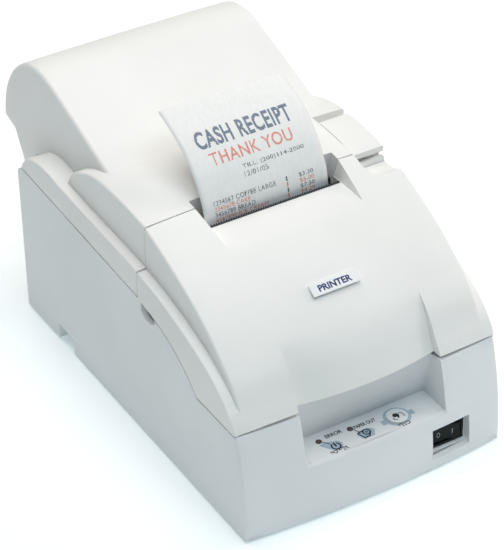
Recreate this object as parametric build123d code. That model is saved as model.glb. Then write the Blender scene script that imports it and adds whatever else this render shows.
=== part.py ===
from build123d import *
import os
from math import acos, atan2, cos, degrees, hypot, radians, sin

# Receipt printer: millimetres, +X to the right seen from the front, -Y front, +Z up.
# The origin is the middle of the footprint, at the bottom of the feet.

# --- driving dimensions -------------------------------------------------------------
HALF_W = 80.0          # half width of the lower case and of the ledge
BODY_W = 74.2          # half width of the raised middle of the covers
HUMP_W = 67.0          # half width of the rear hump
WALL = 2.4             # moulded wall
CASE_Z = 1.5           # underside of the case above the feet's ground line
CASE_TOP = 64.0        # level front part of the lower case's rim
SEAM = 0.9             # open seam between the case and the covers
CASE_BOW = 4.4         # how far the case front bulges in the middle
COVER_BOW = 3.3        # the same for the covers
COVER_CROWN = 1.8      # how much higher the covers are in the middle
HUMP_CROWN = 0.8
JOIN_Y = -34.4         # where the printer cover meets the roll cover
REAR_Y = 104.2         # outer face of the case's rear wall
PAPER_X = -2.6         # middle of the paper
PAPER_W = 76.0
PAPER_Y = -38.95       # paper path, upright part
PAPER_T = 0.2
SLOT_W = 41.0          # half width of the paper slot at its bottom
SLOT_FRONT = -42.2
SLOT_REAR = -28.0
SHELF_Z = 124.6        # flat cut in front of the slot
PANEL_W = 43.3         # half width of the control panel recess
BROW_W = 43.5          # half width of the sunk front over the control panel
PANEL_Z = 35.2         # panel shelf
PANEL_BACK = -120.4
FRONT_PIN = (-125.5, 42.0)     # printer cover pivot (y, z)
REAR_PIN = (112.5, 88.5)       # roll cover pivot
LEVER_PIN = (-1.8, 128.0)      # cover lever pivot
LATCH = (-7.0, 99.3)           # bar the cover lever hooks over
PIN_R = 2.0
RUN = 0.05             # radial running clearance
FRAME_X = 62.0         # inner face of the steel side frames
SHEET = 1.6            # steel sheet
FEED = (-32.5, 50.0)   # feed shaft (y, z)
TYRE_R = 6.3
PINCH_R = 3.5
MODULE = 0.8
FEED_TEETH = 24
IDLER_TEETH = 30
PINION_TEETH = 12
SPOOL_TEETH = 36
FEED_MOTOR = (2.0, 36.0)
HEAD_Z = 75.0
GUIDE = (-62.0, 52.0)
GUIDE_R = 4.0
BELT_Y = -84.0
BELT_Z = 46.0
PULLEY_R = 4.5
PULLEYS_X = (-44.0, 50.0)
ROLL = (55.0, 63.8)    # paper roll centre
ROLL_R = 35.0
BAY_R = 41.5           # trough for the largest roll
BAY = (55.0, 70.0)
SPOOL = (104.0, 122.0)
SHAFT_R = 2.5
EARS_X = (-46.0, -33.0, 33.0, 46.0)     # hinge ears on the case's rear wall

parts = {}


# --- helpers ------------------------------------------------------------------------
def yz(face):
    """Place a flat (y, z) outline in the plane x = 0."""
    return Plane.YZ * face


def prism(face, x0, x1):
    """Straight block along X between x0 and x1 from a (y, z) outline."""
    return extrude(Pos(x0, 0, 0) * yz(face), amount=x1 - x0, dir=(1, 0, 0))


def bowed(face, half_width, bow, crown):
    """Block whose outline keeps its shape while it follows a shallow arc across the width."""
    edge = 1 - (half_width / HALF_W) ** 2
    ends = (-bow * edge, crown * edge)
    start = (-half_width, *ends)
    path = ThreePointArc(start, (0, -bow, crown), (half_width, *ends))
    section = Pos(*start) * yz(face)
    return sweep(section, path=path, normal=(1, 0, 0))


def box(x0, x1, y0, y1, z0, z1):
    size = (x1 - x0, y1 - y0, z1 - z0)
    return Pos((x0 + x1) / 2, (y0 + y1) / 2, (z0 + z1) / 2) * Box(*size)


def rod_x(yz_centre, r, x0, x1):
    turned = Pos((x0 + x1) / 2, *yz_centre) * Rot(0, 90, 0)
    return turned * Cylinder(r, x1 - x0)


def rod_y(x, z, r, y0, y1):
    return Pos(x, (y0 + y1) / 2, z) * Rot(90, 0, 0) * Cylinder(r, y1 - y0)


def rod_z(x, y, r, z0, z1):
    return Pos(x, y, (z0 + z1) / 2) * Cylinder(r, z1 - z0)


def polygon(*points):
    return make_face(Polyline(*points, close=True))


def both_sides(solid):
    return solid + mirror(solid, Plane.YZ)


def keep(name, *solids):
    """Store one node; several solids stay separate pieces of the same node."""
    flat = [s for item in solids for s in item.solids()]
    parts[name] = flat[0] if len(flat) == 1 else Compound(children=flat)


# --- outlines shared by the case and the covers ---------------------------------------
def rim_edges(lift, front_y, rear_y):
    """Side view of the case's rim, from the front to rear_y, raised by lift."""
    kink = (-94.2, CASE_TOP + lift)
    scoop = (-52.5, 86.9 + lift)
    join = (JOIN_Y, 91.0 + lift)
    rear = (rear_y, 91.0 + (rear_y - JOIN_Y) * 0.056 + lift)
    edges = Line((front_y, CASE_TOP + lift), kink)
    edges += ThreePointArc(kink, (-78.0, 77.0 + lift), scoop)
    edges += Line(scoop, join) + Line(join, rear)
    return edges, rear


def case_front(shift=0.0, foot=CASE_Z):
    """The case's curved front edge, foot to rim."""
    return ThreePointArc((-141.0 + shift, foot), (-138.9 + shift, 33.0), (-131.7 + shift, CASE_TOP))


def printer_cover_face(points, drop):
    """Outline of one layer of the printer cover; drop lowers its open underside."""
    top = Spline(*points)
    first, last = points[0], points[-1]
    kink = (-94.2, CASE_TOP + SEAM - drop)
    scoop = (-52.5, 86.9 + SEAM - drop)
    foot = (last[0], 90.8 + SEAM - drop)
    low_front = (first[0], CASE_TOP + SEAM - drop)
    edges = top + Line(last, foot) + Line(foot, scoop)
    edges += ThreePointArc(scoop, (-78.0, 77.0 + SEAM - drop), kink) + Line(kink, low_front)
    if drop:
        edges += Line(low_front, first)
    return make_face(edges)


PRINTER_LEDGE = [(-131.9, CASE_TOP + SEAM), (-125.6, 74.6), (-116.5, 82.6), (-104.5, 89.6), (-86.9, 96.4),
                 (-69.0, 101.4), (-50.8, 105.2), (-34.8, 107.0), (-30.5, 107.4)]
PRINTER_BODY = [(-131.95, CASE_TOP + SEAM), (-126.8, 73.2), (-120.0, 84.4), (-109.1, 95.1), (-100.5, 102.0),
                (-90.8, 108.4), (-79.9, 114.5), (-68.8, 119.7), (-57.6, 124.4), (-45.6, 128.7), (-34.8, 132.2),
                (-30.5, 133.3)]
ROLL_LEDGE = [(JOIN_Y, 107.9), (-3.0, 109.4), (37.0, 111.4), (60.0, 113.0), (73.0, 113.6), (83.0, 112.2),
              (94.2, 106.6), (99.3, 99.7)]
ROLL_BODY = [(JOIN_Y, 132.9), (-18.0, 134.2), (-4.0, 134.8), (8.0, 134.7), (17.5, 133.8), (28.5, 131.2),
             (40.0, 126.3), (48.5, 120.2), (53.2, 113.4)]


def roll_cover_face(points, drop):
    """Outline of one layer of the roll cover over the case's rim."""
    rear_y = points[-1][0] - 1.0
    rim = 91.0 + SEAM - drop
    low_rear = (rear_y, rim + (rear_y - JOIN_Y) * 0.056)
    low_front = (JOIN_Y, rim)
    edges = Spline(*points) + Line(points[-1], low_rear) + Line(low_rear, low_front) + Line(low_front, points[0])
    return make_face(edges)


def hump_face(grow=0.0, floor=False):
    """Outline of the hump; the inner one is grown by a negative wall and is open underneath."""
    front = (18.5 - grow, 133.6 + grow)
    slope = (82.0, 155.6 + grow)
    crown = (97.0, 158.0 + grow)
    back = (131.0 + grow * 0.7, 141.4 + grow * 0.7)
    lip = (145.2 + grow, 107.4 - grow)
    step = (131.8 + grow, 103.6 - grow)
    heel = (122.6 + grow, 87.2 - grow)
    foot = (118.0 + grow, 84.0 - grow)
    edges = Line(front, slope) + ThreePointArc(slope, crown, (113.0, 154.9 + grow))
    edges += ThreePointArc((113.0, 154.9 + grow), back, lip) + Line(lip, step) + Line(step, heel) + Line(heel, foot)
    if floor:
        edges += Line(foot, (106.2, 70.0)) + Line((106.2, 70.0), (24.0, 70.0)) + Line((24.0, 70.0), front)
    else:
        edges += Line(foot, (106.2, 86.5)) + Line((106.2, 86.5), (106.2, 99.6)) + Line((106.2, 99.6), (80.0, 99.6))
        edges += Line((80.0, 99.6), (80.0, 104.0)) + Line((80.0, 104.0), (24.0, 104.0)) + Line((24.0, 104.0), front)
    return make_face(edges)


def long_side_edges(solid, half_width, shortest, above):
    """Upper curved edges along the flat sides, to be rounded."""
    return [e for e in solid.edges()
            if abs(abs(e.center().X) - half_width) < 0.05 and e.length > shortest and e.center().Z > above]


def rounded_layer(face, half_width, bow, crown, radius, shortest, above):
    block = bowed(face, half_width, bow, crown)
    return fillet(long_side_edges(block, half_width, shortest, above), radius)


def inner_layer(face, half_width, bow, crown):
    return bowed(offset(face, amount=-WALL), half_width - WALL, bow, crown)


def ring_sector(centre, r_in, r_out, start, end):
    """Flat part of a ring in a (y, z) view, angles in degrees from +Y towards +Z."""
    middle = (start + end) / 2

    def at(r, angle):
        return (centre[0] + r * cos(radians(angle)), centre[1] + r * sin(radians(angle)))

    edges = ThreePointArc(at(r_out, start), at(r_out, middle), at(r_out, end))
    edges += Line(at(r_out, end), at(r_in, end))
    edges += ThreePointArc(at(r_in, end), at(r_in, middle), at(r_in, start))
    edges += Line(at(r_in, start), at(r_out, start))
    return make_face(edges)


def gear_face(centre, teeth, phase):
    """Spur gear outline in a (y, z) view; phase is the angle of one tooth's middle."""
    pitch_r = MODULE * teeth / 2
    step = 360 / teeth
    flanks = ((-0.30, -1.1), (-0.21, 0.0), (-0.11, 0.8), (0.11, 0.8), (0.21, 0.0), (0.30, -1.1))
    points = []
    for tooth in range(teeth):
        for turn, height in flanks:
            angle = radians(phase + (tooth + turn) * step)
            r = pitch_r + height * MODULE
            points.append((centre[0] + r * cos(angle), centre[1] + r * sin(angle)))
    return polygon(*points)


def meshing_phase(centre_a, teeth_a, phase_a, centre_b, teeth_b):
    """Phase that puts gear b's gap on gear a's tooth along the line of centres."""
    line = degrees(atan2(centre_b[1] - centre_a[1], centre_b[0] - centre_a[0]))
    ahead = ((phase_a - line) / (360 / teeth_a)) % 1
    return line + 180 + (0.5 - ahead) * 360 / teeth_b


def third_centre(a, b, from_a, from_b):
    """Point at the two given distances from a and b, on the upper side."""
    gap = hypot(b[0] - a[0], b[1] - a[1])
    turn = acos((from_a ** 2 + gap ** 2 - from_b ** 2) / (2 * from_a * gap))
    angle = atan2(b[1] - a[1], b[0] - a[0]) + turn
    return (a[0] + from_a * cos(angle), a[1] + from_a * sin(angle))


# --- lower case ---------------------------------------------------------------------
def case_block(shift, half_width, floor, rim_lift):
    """Bowed front half and straight rear half of the case, or of its hollow."""
    rim, rear = rim_edges(rim_lift, -131.7 + shift, -8.0)
    front = case_front(shift, floor)
    if rim_lift:
        rim = Line((-131.7 + shift, CASE_TOP), (-131.7 + shift, 130)) + Line((-131.7 + shift, 130), (-8, 130))
        rear = (-8, 130)
    edges = front + rim + Line(rear, (-8.0, floor)) + Line((-8.0, floor), (-141.0 + shift, floor))
    block = bowed(make_face(edges), half_width, CASE_BOW, 0.01)
    if not rim_lift:
        upright = [e for e in block.edges() if abs(abs(e.center().X) - half_width) < 0.05
                   and e.center().Y < -130 and e.length > 50]
        block = fillet(upright, 2.4)
    return block


def case_rear():
    """Straight rear part with the rounded top rear corner."""
    rise = 91.0 + (97.0 - JOIN_Y) * 0.056
    low = 91.0 + (-14.0 - JOIN_Y) * 0.056
    edges = Line((-14.0, CASE_Z), (-14.0, low)) + Line((-14.0, low), (97.0, rise))
    edges += ThreePointArc((97.0, rise), (102.2, 97.0), (REAR_Y, 92.0))
    edges += Line((REAR_Y, 92.0), (REAR_Y, CASE_Z)) + Line((REAR_Y, CASE_Z), (-14.0, CASE_Z))
    return prism(make_face(edges), -HALF_W, HALF_W)


BAY_X = 58.0           # connector bay
BAY_Y = 44.0
BAY_TOP = 22.0
NOTCH = (46.2, 65.2, 11.5)
SWITCH_X = 46.0
SWITCH_Z = 17.8
SWITCH_Y = -138.0       # floor of the switch pocket
FRAME_BOLTS = [(x, y) for x in (-70.0, 70.0) for y in (-104.0, -10.0)]
BOARD_BOLTS = [(x, y) for x in (-53.0, 53.0) for y in (-66.0, 36.0)]
FOOT_SPOTS = [(x, y) for x in (-68.5, 68.5) for y in (-118.0, 90.0)]
FOOT_R = 7.0
LAMPS = [(-27.0, -127.2), (-7.6, -127.2)]
BUTTON = (18.8, -131.8)
BUTTON_R = 5.8


def scoop_cut():
    """Finger scoops under the printer cover's rear corners."""
    scoop = Pos(HALF_W + 5.5, -45.0, 91.0) * Sphere(11.0)
    window = box(70, 90, -52.0, -37.8, 82.0, 95.0)
    return both_sides(scoop & window)


def panel_lip():
    """Rounding of the panel shelf's front edge, following the bowed front."""
    r = 2.2
    front, centre = -138.9, (-138.9 + 2.2, PANEL_Z - 2.2)
    edges = ThreePointArc((front, centre[1]), (centre[0] - r * 0.7071, centre[1] + r * 0.7071), (centre[0], PANEL_Z))
    edges += Polyline((centre[0], PANEL_Z), (centre[0], PANEL_Z + 1), (-146, PANEL_Z + 1), (-146, centre[1]),
                      (front, centre[1]))
    return bowed(make_face(edges), PANEL_W, CASE_BOW, 0.01)


def lower_case():
    case = case_block(0, HALF_W, CASE_Z, 0) + case_rear()
    case -= case_block(2.5, HALF_W - 2.5, CASE_Z + 2.5, 1)
    case -= box(-77.5, 77.5, -14, REAR_Y - 2.5, CASE_Z + 2.5, 130)
    # stepped control panel at the front
    case += prism(polygon((-139.5, PANEL_Z - WALL), (PANEL_BACK + WALL, PANEL_Z - WALL), (-122.4, 63.4),
                          (-133.4, 63.4)), -PANEL_W - WALL, PANEL_W + WALL)
    recess = prism(polygon((-150, PANEL_Z), (PANEL_BACK, PANEL_Z), (-125.2, 66), (-150, 66)), -PANEL_W, PANEL_W)
    corners = [e for e in recess.edges() if abs(abs(e.center().X) - PANEL_W) < 0.01 and e.center().Y > -124]
    case -= fillet([e for e in corners if e.length > 20], 1.6)
    case -= panel_lip()
    for x, y in LAMPS:
        case -= rod_z(x, y, 1.8, 30, 40)
    case -= rod_z(*BUTTON, BUTTON_R + 0.25, 30, 40)
    # power switch pocket
    case += box(31.4, 60.6, -140.6, SWITCH_Y + WALL, 6.4, 29.2)
    pocket = polygon((-150, 5.0), (-143.4, 8.0), (SWITCH_Y, 11.0), (SWITCH_Y, 26.4), (-150, 27.2))
    case -= prism(pocket, 33.8, 58.4)
    case -= box(SWITCH_X - 9.6, SWITCH_X + 9.6, SWITCH_Y - 1, SWITCH_Y + 5, SWITCH_Z - 6.3, SWITCH_Z + 6.3)
    # connector bay, open behind and underneath, and its side notch
    case += box(-BAY_X - WALL, BAY_X + WALL, BAY_Y - WALL, REAR_Y - 1, CASE_Z, BAY_TOP + WALL)
    case += box(-78, -BAY_X, NOTCH[0] - WALL, NOTCH[1] + WALL, CASE_Z, NOTCH[2] + WALL)
    case -= box(-BAY_X, BAY_X, BAY_Y, REAR_Y + 1, 0, BAY_TOP)
    notch = box(-HALF_W - 1, -BAY_X + 1, NOTCH[0], NOTCH[1], 0, NOTCH[2])
    rounded = [e for e in notch.edges() if abs(e.center().Y - NOTCH[0]) < 0.01 and abs(e.center().Z - NOTCH[2]) < 0.01]
    case -= fillet(rounded, 5.0)
    case -= scoop_cut()
    # posts, bosses, foot recesses and hinge ears
    for x, y in FRAME_BOLTS:
        case += rod_z(x, y, 4.5, CASE_Z + 2, 12) - rod_z(x, y, 1.5, 5, 13)
    for x, y in BOARD_BOLTS:
        case += rod_z(x, y, 3.5, CASE_Z + 2, 7) - rod_z(x, y, 1.25, 4.2, 8)
    for x, y in ((-31, -133.6), (-31, -121.5), (26, -121.5)):
        case += rod_z(x, y, 2.4, CASE_Z + 2, 25.4)
    for x, y in FOOT_SPOTS:
        case -= rod_z(x, y, FOOT_R + 0.2, 0, CASE_Z + 1.0)
    for x in EARS_X:
        ear = polygon((REAR_Y - 1, 79), (REAR_Y - 1, 91), (REAR_PIN[0], REAR_PIN[1] + 4.4), (REAR_PIN[0], REAR_PIN[1] - 4.4))
        ear_block = prism(ear, x - 2, x + 2) + rod_x(REAR_PIN, 4.4, x - 2, x + 2)
        case += ear_block
        case -= rod_x(REAR_PIN, PIN_R, x - 2, x + 2)
    # connector openings in the bay's front wall
    case -= box(-51.4, -8.6, BAY_Y - 3, BAY_Y + 1, 9.0, 20.4)
    case -= rod_y(45.0, 14.8, 6.1, BAY_Y - 3, BAY_Y + 1)
    case -= box(16.9, 30.1, BAY_Y - 3, BAY_Y + 1, 8.5, 20.1)
    keep("lower_case", case)


def feet():
    keep("rubber_feet", *[rod_z(x, y, FOOT_R, 0, CASE_Z + 1.0) for x, y in FOOT_SPOTS])


# --- printer cover --------------------------------------------------------------------
def cover_arm():
    """Gooseneck from the front pivot, round the case's rim, up to the cover's side wall."""
    ring = ring_sector(FRONT_PIN, 23.4, 29.0, -7, 66)
    bar = polygon((FRONT_PIN[0], FRONT_PIN[1] - 3), (FRONT_PIN[0] + 27, FRONT_PIN[1] - 3),
                  (FRONT_PIN[0] + 27, FRONT_PIN[1] + 3), (FRONT_PIN[0], FRONT_PIN[1] + 3))
    arm = prism(ring, 72.2, 75.2) + prism(bar, 72.2, 75.2) + rod_x(FRONT_PIN, 5.0, 72.2, 75.2)
    arm -= rod_x(FRONT_PIN, PIN_R + RUN, 72, 76)
    return arm + box(72.2, 78.4, -113.0, -107.0, 65.4, 78.0)


def panel_brow(grow=0.0):
    """Sunk front over the control panel: bowed more than the cover and fading out upwards."""
    faces = []
    for z, y_side, y_middle in ((58.0, -131.9, -137.6), (70.0, -126.4, -131.8), (84.0, -120.2, -124.4),
                                (96.1, -112.5, -114.4), (104.0, -105.4, -106.4)):
        w, side, middle = BROW_W + grow, y_side + grow * 1.12, y_middle + grow * 1.12
        edges = ThreePointArc((-w, side, z), (0, middle, z), (w, side, z))
        edges += Polyline((w, side, z), (w, -160, z), (-w, -160, z), (-w, side, z))
        faces.append(make_face(edges))
    return loft(faces, ruled=True)


def slot_mouth(y0, y1):
    """Space over the shelf and the slot, wider at the top."""
    outline = [(-SLOT_W, SHELF_Z - 1), (SLOT_W, SHELF_Z - 1), (SLOT_W + 3.0, 134.0), (SLOT_W + 3.0, 160.0),
               (-SLOT_W - 3.0, 160.0), (-SLOT_W - 3.0, 134.0)]
    face = make_face(Polyline(*[(x, y0, z) for x, z in outline], close=True))
    return extrude(face, amount=y1 - y0, dir=(0, 1, 0))


def finger_dip():
    """Rounded dip in the printer cover's rear right corner, under the lever's nose."""
    drum = rod_x((-38.0, 144.6), 22.0, 54.0, 95.0)
    end = [e for e in drum.edges() if abs(e.center().X - 54.0) < 0.01]
    return fillet(end, 9.0) & box(50, 95, -70, 0, 110, 170)


def printer_cover():
    ledge = printer_cover_face(PRINTER_LEDGE, 0)
    outer = rounded_layer(ledge, HALF_W, COVER_BOW, COVER_CROWN, 1.0, 100, 60)
    body = printer_cover_face(PRINTER_BODY, 0)
    outer += rounded_layer(body, BODY_W, COVER_BOW, COVER_CROWN, 1.5, 100, 60)
    outer -= panel_brow()
    hollow = inner_layer(printer_cover_face(PRINTER_LEDGE, 12), HALF_W, COVER_BOW, COVER_CROWN)
    hollow += inner_layer(printer_cover_face(PRINTER_BODY, 12), BODY_W, COVER_BOW, COVER_CROWN)
    hollow -= panel_brow(WALL)
    hollow += box(-BODY_W + WALL, BODY_W - WALL, -60, -30, 60, 105)
    hollow -= box(-90, 90, JOIN_Y - 0.4 - WALL, -20, 105, 160)
    cover = outer - hollow
    # paper slot with the flat shelf in front of it, and the finger dip under the lever
    lining = box(-SLOT_W - WALL, SLOT_W + WALL, -70, -30, SHELF_Z - WALL, 124)
    lining += box(-SLOT_W - WALL - 3, SLOT_W + WALL + 3, -68, -30, 123.9, 140)
    lining += box(50.0, BODY_W - 1, -62.0, -30, 119.6, 140)
    cover += lining & outer
    cover -= box(-90, 90, JOIN_Y - 0.4, 0, 40, 160)
    cover -= box(-SLOT_W, SLOT_W, SLOT_FRONT, 0, 90, 150)
    cover -= slot_mouth(-76, 0) & box(-60, 60, -76, 0, SHELF_Z, 160)
    cover -= finger_dip()
    cover += cover_arm() + mirror(cover_arm(), Plane.YZ)
    # recess for the badge
    badge = Plane(origin=(0.4, -99.6, 109.6), x_dir=(1, 0, 0), z_dir=(0, -0.545, 0.838))
    cover -= badge * Box(29.0, 7.4, 2.4)
    keep("printer_cover", cover)
    keep("badge_plate", badge * (Pos(0, 0, -0.85) * Box(28.6, 7.0, 0.7)))


def tear_bar():
    """Serrated steel strip along the front edge of the paper slot, teeth up."""
    teeth = 54
    pitch = 2 * (SLOT_W - 0.4) / teeth
    root, tip = SHELF_Z + 0.2, SHELF_Z + 1.5
    points = [(-SLOT_W + 0.4, 117.0)]
    for n in range(teeth):
        left = -SLOT_W + 0.4 + n * pitch
        points += [(left, root), (left + pitch / 2, tip)]
    points += [(SLOT_W - 0.4, root), (SLOT_W - 0.4, 117.0)]
    face = make_face(Polyline(*[(x, SLOT_FRONT, z) for x, z in points], close=True))
    keep("tear_bar", extrude(face, amount=0.8, dir=(0, 1, 0)))


# --- roll cover -----------------------------------------------------------------------
def roll_cover():
    outer = rounded_layer(roll_cover_face(ROLL_LEDGE, 0), HALF_W, COVER_BOW, COVER_CROWN, 1.0, 100, 100)
    outer += rounded_layer(roll_cover_face(ROLL_BODY, 0), BODY_W, COVER_BOW, COVER_CROWN, 1.5, 60, 110)
    outer += rounded_layer(hump_face(), HUMP_W, 0, HUMP_CROWN, 2.5, 20, 110)
    hollow = inner_layer(roll_cover_face(ROLL_LEDGE, 14), HALF_W, COVER_BOW, COVER_CROWN)
    hollow += inner_layer(roll_cover_face(ROLL_BODY, 14), BODY_W, COVER_BOW, COVER_CROWN)
    hollow += bowed(hump_face(-WALL, floor=True), HUMP_W - WALL, 0, HUMP_CROWN)
    hollow += box(-BODY_W + WALL, BODY_W - WALL, -40, -20, 80, 106)
    hollow -= box(-90, 90, -60, JOIN_Y + WALL, 106, 160)
    cover = outer - hollow
    # walls round the paper slot, and the well under the lever
    well_rear = 5.9
    lining = box(-SLOT_W - WALL - 3, SLOT_W + WALL + 3, -40, SLOT_REAR + WALL, 121.5, 150)
    lining += box(51.2, BODY_W - 1, -40, well_rear + WALL, 117.4, 150)
    cover += lining & outer
    cover -= box(-90, 90, -60, JOIN_Y, 40, 160)
    cover -= box(-SLOT_W, SLOT_W, -60, SLOT_REAR, 90, 160)
    cover -= slot_mouth(-60, SLOT_REAR)
    cover -= box(53.6, 90, JOIN_Y - 1, well_rear, 125.6, 160)
    cover -= box(53.6, 90, -31.8, well_rear, 119.6, 160)
    cover -= box(63.8, 69.0, -12.5, 3.4, 110, 125)
    for x in (58.4, 69.6):
        ear = polygon((LEVER_PIN[0] - 4, 118), (LEVER_PIN[0] + 2, 118), (LEVER_PIN[0] + 2, LEVER_PIN[1]),
                      (LEVER_PIN[0] - 4, LEVER_PIN[1]))
        cover += prism(ear, x, x + 2) + rod_x(LEVER_PIN, 4.0, x, x + 2)
    cover -= rod_x(LEVER_PIN, PIN_R, 57, 73)
    # rear hinge barrels between the case's ears
    for x in EARS_X:
        cover -= prism(ring_sector(REAR_PIN, 0.5, 16.0, 150, 300), x - 2.4, x + 2.4)
        cover -= rod_x(REAR_PIN, 5.2, x - 2.4, x + 2.4)
    for x in (-43.6, 35.4):
        barrel = polygon((REAR_PIN[0], REAR_PIN[1] - 4.4), (119.6, 84.6), (125.6, 94.0), (REAR_PIN[0], REAR_PIN[1] + 4.4))
        cover += prism(barrel, x, x + 8.2) + rod_x(REAR_PIN, 4.4, x, x + 8.2)
    cover -= rod_x(REAR_PIN, PIN_R + RUN, -50, 50)
    keep("roll_cover", cover)


def cover_lever():
    rear = 7.1
    top = (LEVER_PIN[0], LEVER_PIN[1] + rear)

    def outline(inset):
        r = rear - inset
        start, end = (LEVER_PIN[0], LEVER_PIN[1] + r), (LEVER_PIN[0], LEVER_PIN[1] - r)
        nose = (-33.8, 132.2) if not inset else (-27.6, 133.0 - inset)
        edges = ThreePointArc(start, (-17.0, 134.7 - inset), nose)
        if inset:
            edges += Line(nose, (nose[0], 118.0)) + Line((nose[0], 118.0), (LEVER_PIN[0] + r, 118.0))
            edges += Line((LEVER_PIN[0] + r, 118.0), (LEVER_PIN[0] + r, LEVER_PIN[1]))
            edges += ThreePointArc((LEVER_PIN[0] + r, LEVER_PIN[1]),
                                   (LEVER_PIN[0] + r * 0.7071, LEVER_PIN[1] + r * 0.7071), start)
            return make_face(edges)
        # overhanging lip, sunk face and underside
        edges += Line(nose, (-33.8, 128.9)) + Line((-33.8, 128.9), (-29.6, 128.2)) + Line((-29.6, 128.2), (-29.6, 123.0))
        edges += Line((-29.6, 123.0), (-28.0, 121.6)) + Line((-28.0, 121.6), (-6.0, 121.6)) + Line((-6.0, 121.6), end)
        edges += ThreePointArc(end, (LEVER_PIN[0] + r, LEVER_PIN[1]), start)
        return make_face(edges)

    side = 73.9
    lever = prism(outline(0), 54.5, side)
    sharp = [e for e in lever.edges() if abs(e.center().X - side) < 0.01 and e.center().Z > 130 and e.length > 20]
    lever = fillet(sharp, 1.2)
    lever -= prism(outline(2.0), 56.5, side - 2)
    lever += rod_x(LEVER_PIN, 4.4, 61.0, 69.0)
    lever += box(61.0, 69.0, LEVER_PIN[0] - 6, LEVER_PIN[0] + 2, 129.0, 134.0)
    hook = polygon((-5.0, LEVER_PIN[1]), (0.5, LEVER_PIN[1]), (0.5, 106.0), (2.4, 104.4), (2.4, 103.0), (-5.0, 103.0))
    lever += prism(hook, 64.4, 68.4)
    lever -= rod_x(LEVER_PIN, PIN_R + RUN, 55, 76)
    keep("cover_lever", lever)
    keep("lever_shaft", rod_x(LEVER_PIN, PIN_R, 58.0, 72.4))


def hinge_pins():
    front = [rod_x(FRONT_PIN, PIN_R, 71.4, 77.5), rod_x(FRONT_PIN, PIN_R, -77.5, -71.4)]
    rear = [rod_x(REAR_PIN, PIN_R, 31.0, 48.0), rod_x(REAR_PIN, PIN_R, -48.0, -31.0)]
    keep("hinge_pins", *front, *rear)


# --- operator controls ------------------------------------------------------------------
def controls():
    button = rod_z(*BUTTON, BUTTON_R, 31.6, PANEL_Z + 1.0) + rod_z(*BUTTON, 7.0, 31.0, 32.0)
    button += rod_z(*BUTTON, 1.6, 30.4, 31.2)
    keep("feed_button", button)
    keep("status_lamp_lenses", *[rod_z(x, y, 1.65, 33.0, PANEL_Z + 0.4) for x, y in LAMPS])
    keep("panel_board", box(-35, 30, -136.0, -118.4, 25.4, 27.0))
    switch = box(BUTTON[0] - 3, BUTTON[0] + 3, BUTTON[1] - 3, BUTTON[1] + 3, 27.0, 28.6)
    lamps = [rod_z(x, y, 1.6, 27.0, 32.9) for x, y in LAMPS]
    keep("panel_components", switch + rod_z(*BUTTON, 1.4, 28.6, 29.0), *lamps)
    label = box(-39.5, 39.5, -139.2, -122.4, PANEL_Z, PANEL_Z + 0.15)
    for x, y in LAMPS:
        label -= rod_z(x, y, 1.8, 30, 40)
    keep("panel_label", label - rod_z(*BUTTON, BUTTON_R + 0.25, 30, 40))


def power_switch():
    y, z = SWITCH_Y, SWITCH_Z
    body = box(SWITCH_X - 10.4, SWITCH_X + 10.4, y - 1.6, y, z - 6.6, z + 6.6)
    body += box(SWITCH_X - 9.5, SWITCH_X + 9.5, y, y + 20, z - 6.2, z + 6.2)
    body -= box(SWITCH_X - 8.9, SWITCH_X + 8.9, y - 3, y + 9, z - 5.1, z + 5.1)
    pivot = (SWITCH_X, y + 3.0)
    body -= rod_z(*pivot, 0.95, z - 5.9, z + 5.9)
    for x in (-6, 0, 6):
        body += box(SWITCH_X + x - 0.4, SWITCH_X + x + 0.4, y + 19.8, y + 27, z - 2, z + 2)
    keep("power_switch_body", body)
    face = polygon((-8.2, -4.6), (0, -3.7), (8.2, -4.6), (8.2, -1.0), (2.0, 2.4), (-2.0, 2.4), (-8.2, -1.0))
    rocker = extrude(face, amount=9.6)
    rocker = Pos(*pivot, z - 4.8) * Rot(0, 0, -6) * rocker
    rocker += rod_z(*pivot, 0.9, z - 5.7, z + 5.7)
    keep("power_rocker", rocker)


# --- mechanism -------------------------------------------------------------------------
IDLER_FROM_FEED = MODULE * (FEED_TEETH + IDLER_TEETH) / 2
IDLER_FROM_MOTOR = MODULE * (PINION_TEETH + IDLER_TEETH) / 2
IDLER = third_centre(FEED, FEED_MOTOR, IDLER_FROM_FEED, IDLER_FROM_MOTOR)
FEED_PHASE = 0.0
IDLER_PHASE = meshing_phase(FEED, FEED_TEETH, FEED_PHASE, IDLER, IDLER_TEETH)
PINION_PHASE = meshing_phase(IDLER, IDLER_TEETH, IDLER_PHASE, FEED_MOTOR, PINION_TEETH)


def side_frames():
    plate = polygon((-112, 12), (-2, 12), (-2, 104), (-56, 104), (-56, 64), (-112, 64))
    frame = prism(plate, FRAME_X, FRAME_X + SHEET)
    for y0 in (-112.0, -18.0):
        frame += box(FRAME_X, 76.0, y0, y0 + 16, 12.0, 12.0 + SHEET)
    frame -= rod_x(FEED, SHAFT_R + RUN, 60, 66)
    for x, y in FRAME_BOLTS:
        frame -= rod_z(x, y, 1.7, 11, 15)
    right = frame - rod_x(FEED_MOTOR, 2.6, 60, 66) - rod_x(LATCH, PIN_R, 60, 66)
    right += rod_x(IDLER, PIN_R, FRAME_X + SHEET - 0.2, 71.0)
    latch_bar = rod_x(LATCH, PIN_R, -FRAME_X, 69.4)
    keep("side_frames", mirror(frame, Plane.YZ), right, latch_bar)
    screws = [rod_z(x, y, 3.0, 12 + SHEET, 15.6) + rod_z(x, y, 1.45, 6.0, 14.0) for x, y in FRAME_BOLTS]
    keep("frame_screws", *screws)
    rail = box(-FRAME_X, FRAME_X, -50.0, -47.5, 36.0, 43.8)
    keep("carriage_rails", rod_x(GUIDE, GUIDE_R, -FRAME_X, FRAME_X), rail)
    keep("platen", box(-FRAME_X, FRAME_X, -38.65, -31.5, 68.0, 81.0))


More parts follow.
